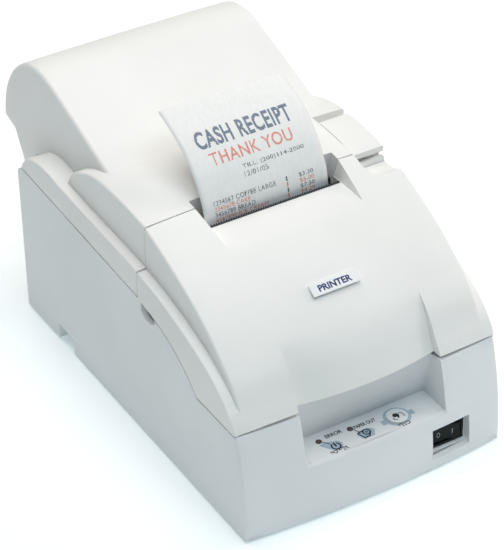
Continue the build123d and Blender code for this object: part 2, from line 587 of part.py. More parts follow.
def paper_feed():
    keep("feed_shaft", rod_x(FEED, SHAFT_R, -66.0, 71.0))
    tyres = []
    for x in (-24.0, 0.0, 24.0):
        tyres.append(rod_x(FEED, TYRE_R, PAPER_X + x - 8, PAPER_X + x + 8) - rod_x(FEED, SHAFT_R, -60, 60))
    keep("feed_tyres", *tyres)
    keep("feed_gear", prism(gear_face(FEED, FEED_TEETH, FEED_PHASE), 65.0, 70.0) - rod_x(FEED, SHAFT_R, 60, 72))
    idler = prism(gear_face(IDLER, IDLER_TEETH, IDLER_PHASE), 65.0, 70.0) - rod_x(IDLER, PIN_R + RUN, 60, 72)
    keep("idler_gear", idler)
    pinion = prism(gear_face(FEED_MOTOR, PINION_TEETH, PINION_PHASE), 65.0, 70.5)
    keep("feed_motor_pinion", pinion + rod_x(FEED_MOTOR, 1.5, 62.0, 66.0))
    motor = rod_x(FEED_MOTOR, 17.5, 39.5, 60.6) + rod_x(FEED_MOTOR, 19.0, 60.6, FRAME_X)
    keep("paper_feed_motor", motor - rod_x(FEED_MOTOR, 1.7, 50, 63))
    pinch = (PAPER_Y - PAPER_T / 2 - 0.1 - PINCH_R, FEED[1])
    keep("pinch_rod", rod_x(pinch, 1.5, -FRAME_X, FRAME_X))
    rollers = []
    for x in (-24.0, 0.0, 24.0):
        rollers.append(rod_x(pinch, PINCH_R, PAPER_X + x - 6, PAPER_X + x + 6) - rod_x(pinch, 1.5 + RUN, -60, 60))
    keep("pinch_rollers", *rollers)


def carriage():
    x0, x1 = PAPER_X - 13, PAPER_X + 13
    block = box(x0, x1, -73.0, -51.0, 44.0, 58.0) + box(x0 + 2, x1 - 2, -71.0, -53.0, 57.0, 68.0)
    block += box(x0 + 4, x1 - 4, -51.5, -46.0, 44.2, 47.4)
    block -= rod_x(GUIDE, GUIDE_R + RUN, -60, 60) + rod_y(PAPER_X, HEAD_Z, 15.6, -76, -50)
    arm = box(PAPER_X - 3, PAPER_X + 3, -81.6, -72.0, 44.2, 45.4) + box(PAPER_X - 3, PAPER_X + 3, -78.2, -72.0, 44.2, 52)
    keep("head_carriage", block + arm)
    head = rod_y(PAPER_X, HEAD_Z, 13.5, -74.0, -50.5)
    for n in range(5):
        start = -73.4 + n * 4.6
        head += rod_y(PAPER_X, HEAD_Z, 15.5, start, start + 1.8)
    head += box(PAPER_X - 4.5, PAPER_X + 4.5, -50.6, -44.0, HEAD_Z - 8, HEAD_Z + 6)
    head += box(PAPER_X - 2, PAPER_X + 2, -44.1, -40.9, HEAD_Z - 5, HEAD_Z + 3)
    keep("print_head", head)
    left, right = PULLEYS_X
    motor = rod_z(left, BELT_Y, 17.0, 16.0, 38.0) - rod_z(left, BELT_Y, 1.7, 30, 39)
    keep("carriage_motor", motor)
    plate = box(-FRAME_X, left + 20, -103.0, -66.0, 38.0, 38.0 + SHEET)
    plate -= rod_z(left, BELT_Y, 3.0, 37, 41)
    bracket = box(right - 8, FRAME_X, -92.0, -76.0, 38.0, 38.0 + SHEET) + rod_z(right, BELT_Y, 1.5, 39, 54)
    keep("belt_brackets", plate, bracket)
    pulley = rod_z(left, BELT_Y, PULLEY_R, BELT_Z, BELT_Z + 6) + rod_z(left, BELT_Y, 6.0, BELT_Z - 1, BELT_Z)
    keep("drive_pulley", pulley + rod_z(left, BELT_Y, 1.5, 33.0, BELT_Z))
    idler = rod_z(right, BELT_Y, PULLEY_R, BELT_Z, BELT_Z + 6) + rod_z(right, BELT_Y, 6.0, BELT_Z - 1, BELT_Z)
    keep("idler_pulley", idler - rod_z(right, BELT_Y, 1.5 + RUN, 40, 60))
    outer, inner = PULLEY_R + 1.3, PULLEY_R + 0.3
    loop = SlotCenterToCenter(right - left, 2 * outer) - SlotCenterToCenter(right - left, 2 * inner)
    keep("carriage_belt", Pos((left + right) / 2, BELT_Y, BELT_Z) * extrude(loop, amount=6))


def ribbon():
    keep("ribbon_shelf", box(-FRAME_X, FRAME_X, -110.0, -81.0, 62.0, 63.8))
    z0, z1 = 64.0, 82.0
    shell = box(-58, 58, -108, -82, z0, z1)
    for side in (-1, 1):
        x0, x1 = sorted((side * 50.6, side * 58.0))
        shell += box(x0, x1, -83, -44.4, z0, z1)
    uprights = [e for e in shell.edges().filter_by(Axis.Z) if e.center().Y < -100]
    shell = fillet(uprights, 6.0)
    hollow = box(-56.6, 56.6, -106.6, -83.4, z0 + 1.4, z1 - 1.4)
    for side in (-1, 1):
        x0, x1 = sorted((side * 52.0, side * 56.6))
        hollow += box(x0, x1, -84, -43.0, z0 + 1.4, z1 - 1.4)
    shell -= hollow
    knob_at = (-38.0, -95.0)
    shell -= rod_z(*knob_at, 3.0 + RUN, z1 - 3, z1 + 1)
    keep("ribbon_cassette", shell)
    knob = rod_z(*knob_at, 8.0, z1 + 0.3, z1 + 4.0) + rod_z(*knob_at, 3.0, z1 - 6, z1 + 1)
    for n in range(12):
        angle = radians(30 * n)
        knob -= rod_z(knob_at[0] + 8.4 * cos(angle), knob_at[1] + 8.4 * sin(angle), 1.2, z1, z1 + 5)
    keep("ribbon_knob", knob + box(knob_at[0] - 6, knob_at[0] + 6, knob_at[1] - 1, knob_at[1] + 1, z1 + 3.8, z1 + 6))
    route = Polyline((-54.3, -46.0), (-51.6, -40.2), (51.6, -40.2), (54.3, -46.0))
    strip = extrude(trace(route, 0.15), amount=12)
    keep("ink_ribbon", Pos(0, 0, HEAD_Z - 7) * strip)


def cutter():
    keep("cutter_base", box(-FRAME_X, FRAME_X, -36.6, -10.0, 96.0, 97.4))
    blade = polygon((-41, -37.2), (-14, -35.2), (14, -35.2), (41, -37.2), (41, -18), (-41, -18))
    keep("moving_blade", Pos(PAPER_X + 2.6, 0, 97.5) * extrude(blade, amount=1.2))
    keep("fixed_blade", box(-FRAME_X, FRAME_X, -52.0, -40.2, 98.9, 100.4))
    motor = rod_x((-22.0, 85.4), 10.0, -52.0, -24.0) + box(-24.0, -10.0, -30.0, -14.0, 76.0, 96.0)
    keep("cutter_motor", motor)


# --- paper ------------------------------------------------------------------------------
RECEIPT_Z = 101.6


def receipt_curve():
    """Printed receipt standing out of the slot, leaning and curling to the rear."""
    points = [(PAPER_Y, 118.0), (-37.6, 130.5), (-33.0, 141.0), (-25.0, 151.8), (-12.4, 161.8), (0.0, 167.6),
              (7.6, 170.6)]
    return Line((PAPER_Y, RECEIPT_Z), points[0]) + Spline(*points, tangents=[(0, 1), (0.93, 0.37)])


def paper():
    x0, x1 = PAPER_X - PAPER_W / 2, PAPER_X + PAPER_W / 2
    keep("receipt", prism(trace(receipt_curve(), PAPER_T), x0, x1))
    wrap = TYRE_R + 0.1 + PAPER_T / 2
    off_roll = ROLL_R + PAPER_T
    gap = hypot(ROLL[0] - FEED[0], ROLL[1] - FEED[1])
    lean = atan2(ROLL[1] - FEED[1], ROLL[0] - FEED[0])
    turn = acos((wrap + off_roll) / gap)
    leave = lean - turn
    on_roller = (FEED[0] + wrap * cos(leave), FEED[1] + wrap * sin(leave))
    on_roll = (ROLL[0] - off_roll * cos(leave), ROLL[1] - off_roll * sin(leave))
    low = (FEED[0] + wrap * cos(radians(236)), FEED[1] + wrap * sin(radians(236)))
    front = (FEED[0] - wrap, FEED[1])
    route = Line(on_roll, on_roller) + ThreePointArc(on_roller, low, front)
    route += Line(front, (FEED[0] - wrap, 95.8))
    keep("paper_web", prism(trace(route, PAPER_T), x0, x1))
    keep("paper_roll", rod_x(ROLL, ROLL_R, x0, x1) - rod_x(ROLL, 9.0, x0, x1))
    keep("roll_core", rod_x(ROLL, 9.0, x0, x1) - rod_x(ROLL, 6.2, x0 - 1, x1 + 1))


def roll_holder():
    trough = ring_sector(BAY, BAY_R, BAY_R + 2, 180, 350)
    cheek = make_face(ThreePointArc((BAY[0] - BAY_R - 2, BAY[1]), (BAY[0], BAY[1] - BAY_R - 2), (BAY[0] + BAY_R + 2, BAY[1]))
                      + Line((BAY[0] + BAY_R + 2, BAY[1]), (BAY[0] - BAY_R - 2, BAY[1])))
    holder = prism(trough, PAPER_X - 40, PAPER_X + 40)
    for x in (PAPER_X - 41, PAPER_X + 39):
        holder += prism(cheek, x, x + 2)
    holder += box(-30, -22, 46, 64, BAY_TOP + WALL, 28.0) + box(18, 26, 46, 64, BAY_TOP + WALL, 28.0)
    holder -= rod_x(BAY, BAY_R, PAPER_X - 39, PAPER_X + 39)
    holder -= box(PAPER_X - 42, PAPER_X - 38, 60, 72, 54, 66)
    pivot = (80.0, 44.0)
    keep("roll_holder", holder + rod_x(pivot, 1.5, PAPER_X - 45.0, PAPER_X - 40.5))
    arm = polygon((77.0, 42.0), (83.0, 42.0), (83.0, 46.0), (69.0, 62.0), (64.0, 62.0), (64.0, 58.0))
    x = PAPER_X - 44.2
    lever = prism(arm, x, x + 2.6) + box(x, PAPER_X - 38.2, 64.4, 67.6, 58.4, 61.6)
    lever += rod_x(pivot, 3.2, x, x + 2.6)
    keep("near_end_lever", lever - rod_x(pivot, 1.5 + RUN, x - 1, x + 3))


SPOOL_PINION = (SPOOL[0] - 13.6, SPOOL[1] - 13.553)
SPOOL_PHASE = 4.0


def take_up():
    inside = REAR_Y - 2.5
    plate = polygon((90, 72), (inside, 72), (inside, 99.5), (108, 103), (112, 114), (112, 128), (97, 128), (90, 112))
    left = prism(plate, -45, -43) - rod_x(SPOOL, 3.0 + RUN, -46, -42)
    right = prism(plate, 43, 45) - rod_x(SPOOL, 3.0 + RUN, 42, 46)
    outer = polygon((84, 72), (inside, 72), (inside, 99.5), (100, 116), (90, 119), (82, 112))
    right += prism(outer, 51.6, 53.2) + box(43, 53.2, 90, inside, 72, 74)
    keep("take_up_brackets", left, right - rod_x(SPOOL_PINION, 2.6, 50, 54))
    spool = rod_x(SPOOL, 5.5, -39.0, 39.0) + rod_x(SPOOL, 3.0, -47.0, 51.0)
    for x in (-40.6, 39.0):
        spool += rod_x(SPOOL, 22.0, x, x + 1.6)
    for n in range(3):
        angle = radians(120 * n + 30)
        hole = (SPOOL[0] + 14 * cos(angle), SPOOL[1] + 14 * sin(angle))
        spool -= rod_x(hole, 5.0, -41, 41)
    keep("take_up_spool", spool + prism(gear_face(SPOOL, SPOOL_TEETH, SPOOL_PHASE), 46.2, 50.4))
    phase = meshing_phase(SPOOL, SPOOL_TEETH, SPOOL_PHASE, SPOOL_PINION, PINION_TEETH)
    pinion = prism(gear_face(SPOOL_PINION, PINION_TEETH, phase), 46.2, 50.8) + rod_x(SPOOL_PINION, 1.5, 50.0, 55.0)
    keep("take_up_pinion", pinion)
    keep("take_up_motor", rod_x(SPOOL_PINION, 9.0, 53.2, 63.6) - rod_x(SPOOL_PINION, 1.7, 52, 56))


# --- electronics ------------------------------------------------------------------------
def boards():
    board = box(-58, 58, -72.0, BAY_Y - WALL - 0.2, 7.0, 8.6)
    for x, y in BOARD_BOLTS:
        board -= rod_z(x, y, 1.7, 6, 9)
    keep("main_board", board)
    keep("board_screws", *[rod_z(x, y, 2.6, 8.6, 10.4) + rod_z(x, y, 1.2, 4.6, 9.0) for x, y in BOARD_BOLTS])
    chips = [box(-20, -4, -30, -14, 8.6, 10.4), box(8, 20, -40, -28, 8.6, 10.2), box(26, 40, -20, -8, 8.6, 11.0)]
    chips += [rod_z(x, -55, 4.0, 8.6, 18.0) for x in (-40, -28, 44)]
    chips.append(box(-50, -20, 8, 13, 8.6, 11.4))
    keep("board_components", *chips)
    keep("interface_board", box(-54, -4, 6.0, 38.0, 11.4, 13.0))
    plug = box(-50.8, -9.2, 28.0, BAY_Y + 5.0, 13.0, 20.0) + box(-47, -13, BAY_Y + 5, BAY_Y + 11, 10.4, 19.0)
    plug -= box(-46, -14, BAY_Y + 6, BAY_Y + 12, 11.4, 18.0)
    pins = box(-44, -16, BAY_Y + 5.0, BAY_Y + 9.0, 14.2, 15.2)
    keep("interface_connector", plug + pins)
    power = rod_y(45.0, 14.8, 6.0, 26.0, BAY_Y + 2.0) - rod_y(45.0, 14.8, 5.0, 34.0, BAY_Y + 3.0)
    power += rod_y(45.0, 14.8, 2.0, 32.0, BAY_Y) + box(40, 50, 26, 33.5, 8.6, 12.0)
    keep("power_socket", power)
    drawer = box(17.1, 29.9, 26.0, BAY_Y + 1.0, 8.6, 20.0) - box(18.6, 28.4, 32.0, BAY_Y + 2.0, 10.4, 17.0)
    keep("drawer_socket", drawer - box(21.5, 25.5, 32.0, BAY_Y + 2, 16.5, 18.6))


def main():
    lower_case()
    feet()
    printer_cover()
    tear_bar()
    roll_cover()
    cover_lever()
    hinge_pins()
    controls()
    power_switch()
    side_frames()
    paper_feed()
    carriage()
    ribbon()
    cutter()
    paper()
    roll_holder()
    take_up()
    boards()
    os.makedirs("parts", exist_ok=True)
    for name, shape in parts.items():
        export_step(shape, f"parts/{name}.step")


main()
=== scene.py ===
import math

import bmesh
import bpy
from mathutils import Matrix, Vector
from mathutils.bvhtree import BVHTree


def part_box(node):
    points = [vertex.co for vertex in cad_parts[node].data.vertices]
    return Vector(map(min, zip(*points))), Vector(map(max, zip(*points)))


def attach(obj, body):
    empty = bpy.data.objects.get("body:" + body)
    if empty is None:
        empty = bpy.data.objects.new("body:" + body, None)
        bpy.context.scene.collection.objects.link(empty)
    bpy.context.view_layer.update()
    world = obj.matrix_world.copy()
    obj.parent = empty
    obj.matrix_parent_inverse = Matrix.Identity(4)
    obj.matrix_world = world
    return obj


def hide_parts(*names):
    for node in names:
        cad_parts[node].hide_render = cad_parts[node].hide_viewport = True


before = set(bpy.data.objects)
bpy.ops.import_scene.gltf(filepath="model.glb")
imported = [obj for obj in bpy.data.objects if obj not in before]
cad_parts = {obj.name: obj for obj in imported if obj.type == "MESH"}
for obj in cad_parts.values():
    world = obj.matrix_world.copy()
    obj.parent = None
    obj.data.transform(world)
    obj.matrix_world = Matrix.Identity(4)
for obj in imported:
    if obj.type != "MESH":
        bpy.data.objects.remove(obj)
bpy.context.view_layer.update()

MM = 0.001
INK_LIFT = 0.03         # height of printed ink over what it is printed on, mm


# --- materials -----------------------------------------------------------------------
def srgb(r, g, b):
    """0-255 display colour to linear."""
    def linear(c):
        return c / 255 / 12.92 if c / 255 <= 0.04045 else ((c / 255 + 0.055) / 1.055) ** 2.4

    return linear(r), linear(g), linear(b)


class Shader:
    """Short way to wire one node material."""

    def __init__(self, name):
        self.material = bpy.data.materials.new(name)
        self.material.use_nodes = True
        self.tree = self.material.node_tree
        self.tree.nodes.clear()
        self.out = self.node("OutputMaterial")
        self.bsdf = self.node("BsdfPrincipled")
        self.wire(self.bsdf, "BSDF", self.out, "Surface")
        self.coords = self.node("TexCoord")

    def node(self, kind, **values):
        made = self.tree.nodes.new("ShaderNode" + kind)
        for key, value in values.items():
            if hasattr(made, key):
                setattr(made, key, value)
            else:
                made.inputs[key.replace("_", " ").title()].default_value = value
        return made

    def wire(self, a, a_name, b, b_name):
        self.tree.links.new(a.outputs[a_name], b.inputs[b_name])

    def set(self, **values):
        for key, value in values.items():
            socket = self.bsdf.inputs[key.replace("_", " ")]
            socket.default_value = (*value, 1.0) if isinstance(value, tuple) and len(value) == 3 else value

    def noise(self, scale, detail=2.0, stretch=None):
        made = self.node("TexNoise", Scale=scale, Detail=detail)
        if stretch:
            mapping = self.node("Mapping", Scale=stretch)
            self.wire(self.coords, "Object", mapping, "Vector")
            self.wire(mapping, "Vector", made, "Vector")
        else:
            self.wire(self.coords, "Object", made, "Vector")
        return made

    def tint(self, source, low, high, start=0.3, end=0.7):
        """Colour that wanders between low and high with a texture."""
        ramp = self.node("ValToRGB")
        ramp.color_ramp.elements[0].position = start
        ramp.color_ramp.elements[1].position = end
        ramp.color_ramp.elements[0].color = (*low, 1)
        ramp.color_ramp.elements[1].color = (*high, 1)
        self.wire(source, "Fac", ramp, "Fac")
        self.wire(ramp, "Color", self.bsdf, "Base Color")
        return ramp

    def roughness(self, source, low, high):
        span = self.node("MapRange")
        span.inputs["To Min"].default_value = low
        span.inputs["To Max"].default_value = high
        self.wire(source, "Fac", span, "Value")
        self.wire(span, "Result", self.bsdf, "Roughness")

    def relief(self, source, height, edge=0.0, output="Fac"):
        """Bump of a real height in metres over rounded edges of a real radius."""
        bump = self.node("Bump")
        bump.inputs["Strength"].default_value = 1.0
        bump.inputs["Distance"].default_value = height
        self.wire(source, output, bump, "Height")
        if edge:
            rounded = self.node("Bevel")
            rounded.samples = 6
            rounded.inputs["Radius"].default_value = edge
            self.wire(rounded, "Normal", bump, "Normal")
        self.wire(bump, "Normal", self.bsdf, "Normal")


def scaled(colour, k):
    return tuple(min(c * k, 1.0) for c in colour)


def moulded(name, colour, rough=0.5, grain=0.6, depth=0.006, edge=0.35, mottle=0.03, gloss=0.42):
    """Injection-moulded plastic: spark-eroded grain, faint cloudiness, softened edges. Sizes in mm."""
    s = Shader(name)
    cloud = s.noise(14.0, 3.0)
    s.tint(cloud, scaled(colour, 1 - mottle), scaled(colour, 1 + mottle))
    fine = s.noise(1000 / grain, 3.0)
    s.roughness(fine, rough - 0.06, rough + 0.06)
    s.relief(fine, depth * MM, edge * MM)
    s.set(Specular_IOR_Level=gloss)
    return s.material


def metal(name, colour, rough=0.32, stretch=(1.0, 1.0, 1.0), depth=0.002, edge=0.2):
    """Rolled or ground metal with fine lines along one direction."""
    s = Shader(name)
    lines = s.noise(900.0, 4.0, stretch)
    s.tint(lines, scaled(colour, 0.88), scaled(colour, 1.08))
    s.roughness(lines, rough - 0.08, rough + 0.1)
    s.relief(lines, depth * MM, edge * MM)
    s.set(Metallic=1.0)
    return s.material


def rubber(name, colour, rough=0.75):
    s = Shader(name)
    fine = s.noise(1600.0, 4.0)
    s.tint(fine, scaled(colour, 0.8), scaled(colour, 1.25))
    s.roughness(fine, rough - 0.08, rough + 0.08)
    s.relief(fine, 0.02 * MM, 0.3 * MM)
    return s.material


def paper_stock(name, colour):
    """Uncoated bond paper: fibre mottling, slight see-through."""
    s = Shader(name)
    fibre = s.noise(700.0, 6.0, (1.0, 0.35, 0.35))
    s.tint(fibre, scaled(colour, 0.965), scaled(colour, 1.02))
    s.relief(fibre, 0.006 * MM)
    s.set(Roughness=0.85, Specular_IOR_Level=0.25)
    return s.material


def ink(name, colour, rough=0.6):
    s = Shader(name)
    spots = s.noise(1500.0, 2.0)
    s.tint(spots, scaled(colour, 0.8), scaled(colour, 1.2))
    s.roughness(spots, rough - 0.05, rough + 0.05)
    return s.material


def board_green(name):
    """Solder mask with copper tracks showing faintly through it."""
    s = Shader(name)
    tracks = s.node("TexBrick")
    tracks.inputs["Scale"].default_value = 260.0
    tracks.inputs["Color1"].default_value = (0.010, 0.085, 0.035, 1)
    tracks.inputs["Color2"].default_value = (0.012, 0.100, 0.042, 1)
    tracks.inputs["Mortar"].default_value = (0.030, 0.200, 0.085, 1)
    tracks.inputs["Mortar Size"].default_value = 0.06
    s.wire(s.coords, "Object", tracks, "Vector")
    s.wire(tracks, "Color", s.bsdf, "Base Color")
    s.relief(tracks, 0.03 * MM, 0.0, "Fac")
    s.set(Roughness=0.35)
    return s.material


def roll_edges(name, colour):
    """Paper roll: ring lines of the wound layers on its ends."""
    s = Shader(name)
    rings = s.node("TexWave", wave_type="RINGS")
    rings.rings_direction = "X"
    rings.inputs["Scale"].default_value = 700.0
    rings.inputs["Distortion"].default_value = 1.5
    centre = s.node("Mapping")
    low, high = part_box("paper_roll")
    centre.inputs["Location"].default_value = -(low + high) / 2
    s.wire(s.coords, "Object", centre, "Vector")
    s.wire(centre, "Vector", rings, "Vector")
    s.tint(rings, scaled(colour, 0.86), colour, 0.2, 0.8)
    s.relief(rings, 0.05 * MM, 0.2 * MM)
    s.set(Roughness=0.85)
    return s.material


def lamp_lens(name):
    s = Shader(name)
    fine = s.noise(900.0)
    s.tint(fine, (0.055, 0.045, 0.045), (0.085, 0.065, 0.062))
    s.roughness(fine, 0.12, 0.2)
    s.set(Coat_Weight=0.6)
    return s.material


def weave(name, colour):
    s = Shader(name)
    cells = s.node("TexChecker")
    cells.inputs["Scale"].default_value = 2500.0
    s.wire(s.coords, "Object", cells, "Vector")
    s.tint(cells, scaled(colour, 0.7), scaled(colour, 1.3))
    s.relief(cells, 0.03 * MM)
    s.set(Roughness=0.8)
    return s.material


WHITE = srgb(238, 237, 233)
COOL_WHITE = srgb(232, 233, 233)
cover_plastic = moulded("cover_plastic", WHITE, 0.48)
case_plastic = moulded("case_plastic", COOL_WHITE, 0.48)
panel_film = moulded("panel_film", COOL_WHITE, 0.42, depth=0.002, edge=0.05)
badge_film = moulded("badge_film", srgb(240, 241, 241), 0.35, depth=0.001, edge=0.15)
button_plastic = moulded("button_plastic", srgb(236, 238, 238), 0.4)
switch_black = moulded("switch_black", (0.004, 0.007, 0.008), 0.45, edge=0.3, gloss=0.16)
rocker_black = moulded("rocker_black", (0.004, 0.007, 0.008), 0.4, edge=0.4, gloss=0.14)
black_plastic = moulded("black_plastic", (0.015, 0.015, 0.017), 0.5)
grey_plastic = moulded("grey_plastic", (0.07, 0.075, 0.08), 0.5)
dark_grey_plastic = moulded("dark_grey_plastic", (0.03, 0.032, 0.035), 0.45)
acetal = moulded("acetal", (0.72, 0.70, 0.62), 0.4, edge=0.15)
knob_blue = moulded("knob_blue", (0.03, 0.10, 0.28), 0.45)
foot_rubber = rubber("foot_rubber", (0.02, 0.02, 0.02))
roller_rubber = rubber("roller_rubber", (0.025, 0.025, 0.026), 0.65)
belt_rubber = rubber("belt_rubber", (0.012, 0.012, 0.012))
zinc_sheet = metal("zinc_sheet", (0.56, 0.57, 0.58), 0.42, (1.0, 0.08, 0.08))
ground_steel = metal("ground_steel", (0.66, 0.67, 0.68), 0.2, (0.05, 1.0, 1.0))
blade_steel = metal("blade_steel", (0.60, 0.61, 0.62), 0.25, (0.05, 1.0, 1.0))
dark_steel = metal("dark_steel", (0.10, 0.11, 0.12), 0.45, (0.05, 1.0, 1.0))
motor_can = metal("motor_can", (0.42, 0.43, 0.44), 0.38, (0.1, 1.0, 1.0))
cast_alloy = metal("cast_alloy", (0.30, 0.31, 0.33), 0.5, depth=0.01)
tinned = metal("tinned", (0.62, 0.62, 0.63), 0.3)
paper = paper_stock("paper", srgb(240, 239, 236))
roll_paper = roll_edges("roll_paper", srgb(240, 240, 236))
card = paper_stock("card", srgb(170, 140, 104))
solder_mask = board_green("solder_mask")
lens = lamp_lens("lens")
ribbon_cloth = weave("ribbon_cloth", (0.03, 0.015, 0.03))
print_blue = ink("print_blue", srgb(104, 117, 138))
badge_ink = ink("badge_ink", srgb(24, 44, 104))
print_black = ink("print_black", srgb(84, 88, 98))
print_red = ink("print_red", srgb(232, 138, 122))
panel_ink = ink("panel_ink", srgb(26, 34, 42))
panel_tint = ink("panel_tint", srgb(172, 190, 202))
mark_white = ink("mark_white", srgb(140, 152, 156))

LOOKS = {
    cover_plastic: ("printer_cover", "roll_cover", "cover_lever"),
    case_plastic: ("lower_case",),
    panel_film: ("panel_label",),
    badge_film: ("badge_plate",),
    button_plastic: ("feed_button",),
    switch_black: ("power_switch_body",),
    rocker_black: ("power_rocker",),
    black_plastic: ("panel_components", "board_components", "power_socket", "drawer_socket", "head_carriage"),
    grey_plastic: ("roll_holder", "pinch_rollers", "platen"),
    dark_grey_plastic: ("take_up_spool", "ribbon_cassette"),
    acetal: ("feed_gear", "idler_gear", "feed_motor_pinion", "drive_pulley", "idler_pulley", "near_end_lever",
             "take_up_pinion"),
    knob_blue: ("ribbon_knob",),
    foot_rubber: ("rubber_feet",),
    roller_rubber: ("feed_tyres",),
    belt_rubber: ("carriage_belt",),
    zinc_sheet: ("side_frames", "belt_brackets", "ribbon_shelf", "cutter_base", "take_up_brackets"),
    ground_steel: ("carriage_rails", "feed_shaft", "pinch_rod", "hinge_pins", "lever_shaft", "frame_screws",
                   "board_screws"),
    blade_steel: ("fixed_blade", "moving_blade"),
    dark_steel: ("tear_bar",),
    motor_can: ("paper_feed_motor", "carriage_motor", "cutter_motor", "take_up_motor"),
    cast_alloy: ("print_head",),
    tinned: ("interface_connector",),
    paper: ("paper_web",),
    roll_paper: ("paper_roll",),
    card: ("roll_core",),
    solder_mask: ("panel_board", "main_board", "interface_board"),
    lens: ("status_lamp_lenses",),
    ribbon_cloth: ("ink_ribbon",),
}


def dress_cad():
    """Gives every CAD node its material and smooth curved faces between sharp edges."""
    for material, nodes in LOOKS.items():
        for name in nodes:
            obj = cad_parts[name]
            obj.data.materials.clear()
            obj.data.materials.append(material)
            for face in obj.data.polygons:
                face.use_smooth = True
            weld = obj.modifiers.new("weld", "WELD")
            weld.merge_threshold = 0.002 * MM
            split = obj.modifiers.new("sharp", "EDGE_SPLIT")
            split.split_angle = math.radians(24)


dress_cad()


# --- small mesh makers --------------------------------------------------------------
def mesh_object(name, vertices, faces, material, body, smooth=False):
    data = bpy.data.meshes.new(name)
    data.from_pydata(vertices, [], faces)
    data.update()
    for face in data.polygons:
        face.use_smooth = smooth
    obj = bpy.data.objects.new(name, data)
    bpy.context.collection.objects.link(obj)
    obj.data.materials.append(material)
    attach(obj, body)
    return obj


def text_triangles(words, spread=0.0, spacing=1.0):
    """Flat triangles of a line of text, one unit of capital height, starting at x = 0."""
    curve = bpy.data.curves.new("words", "FONT")
    curve.body = words
    curve.offset = spread
    curve.space_character = spacing
    obj = bpy.data.objects.new("words", curve)
    bpy.context.collection.objects.link(obj)
    depsgraph = bpy.context.evaluated_depsgraph_get()
    mesh = bpy.data.meshes.new_from_object(obj.evaluated_get(depsgraph))
    bm = bmesh.new()
    bm.from_mesh(mesh)
    bmesh.ops.triangulate(bm, faces=bm.faces)
    points = [v.co.copy() for v in bm.verts]
    triangles = [[v.index for v in face.verts] for face in bm.faces]
    bm.free()
    bpy.data.objects.remove(obj)
    bpy.data.meshes.remove(mesh)
    left = min(p.x for p in points)
    low = min(p.y for p in points)
    high = max(p.y for p in points)
    points = [Vector(((p.x - left) / (high - low), (p.y - low) / (high - low), 0)) for p in points]
    return points, triangles


def flat_text(name, words, place, height, width, material, body, spread=0.0):
    """Solid lettering laid on a surface by place(u, v, lift) with u, v in metres."""
    points, triangles = text_triangles(words, spread)
    wide = max(p.x for p in points)
    top = [place(p.x / wide * width, p.y * height, INK_LIFT * MM) for p in points]
    return mesh_object(name, top, triangles, material, body)


def dot_text(name, words, place, height, width, pitch, radius, material, body, spread=0.0,
             spacing=1.06):
    """Lettering made of round dots on a grid, as a pin printer strikes it."""
    points, triangles = text_triangles(words, spread, spacing)
    wide = max(p.x for p in points)
    points = [Vector((p.x / wide * width, p.y * height, 0)) for p in points]
    tree = BVHTree.FromPolygons(points, triangles)
    vertices, faces = [], []
    rows, columns = int(height / pitch) + 1, int(width / pitch) + 1
    turns = [math.radians(60 * k) for k in range(6)]
    corners = [(math.cos(turn) * radius, math.sin(turn) * radius) for turn in turns]
    for row in range(rows):
        for column in range(columns):
            u, v = (column + 0.5) * pitch, (row + 0.5) * height / rows
            hit = tree.ray_cast(Vector((u, v, 1)), Vector((0, 0, -1)))[0]
            if hit is None:
                continue
            start = len(vertices)
            vertices += [place(u + du, v + dv, INK_LIFT * MM) for du, dv in corners]
            faces.append(tuple(range(start, start + 6)))
    return mesh_object(name, vertices, faces, material, body)


def catmull(points, count):
    """Smooth curve through the points, count samples per span."""
    ends = [2 * points[0] - points[1], *points, 2 * points[-1] - points[-2]]
    line = []
    for k in range(1, len(ends) - 2):
        a, b, c, d = ends[k - 1:k + 3]
        for step in range(count):
            t = step / count
            line.append(0.5 * (2 * b + (c - a) * t + (2 * a - 5 * b + 4 * c - d) * t * t
                               + (3 * b - a - 3 * c + d) * t ** 3))
    return line + [points[-1]]


# --- receipt ---------------------------------------------------------------------------
class Sheet:
    """The receipt's surface, measured from its free end (down) and its middle (right)."""

    def __init__(self):
        profile = [(-38.95, 101.6), (-38.95, 118.0), (-37.6, 130.5), (-33.0, 141.0), (-25.0, 151.8),
                   (-12.4, 161.8), (0.0, 167.6), (7.6, 170.5)]
        line = catmull([Vector((0, y * MM, z * MM)) for y, z in profile], 24)
        self.line = line[::-1]
        self.lengths = [0.0]
        for a, b in zip(self.line, self.line[1:]):
            self.lengths.append(self.lengths[-1] + (b - a).length)
        low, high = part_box("receipt")
        self.middle = (low.x + high.x) / 2
        self.half = (high.x - low.x) / 2
        self.length = self.lengths[-1]

    def at(self, x, down, lift):
        k = 1
        while k < len(self.lengths) - 1 and self.lengths[k] < down:
            k += 1
        a, b = self.line[k - 1], self.line[k]
        t = (down - self.lengths[k - 1]) / (self.lengths[k] - self.lengths[k - 1])
        point = a.lerp(b, t)
        along = (a - b).normalized()
        normal = Vector((0, -along.z, along.y))
        curl = max(0.0, 1 - down / (0.6 * self.length)) ** 1.5
        side = (x - self.middle) / self.half
        lift += -0.9 * MM * curl * side * side
        return Vector((x, 0, 0)) + point + normal * lift


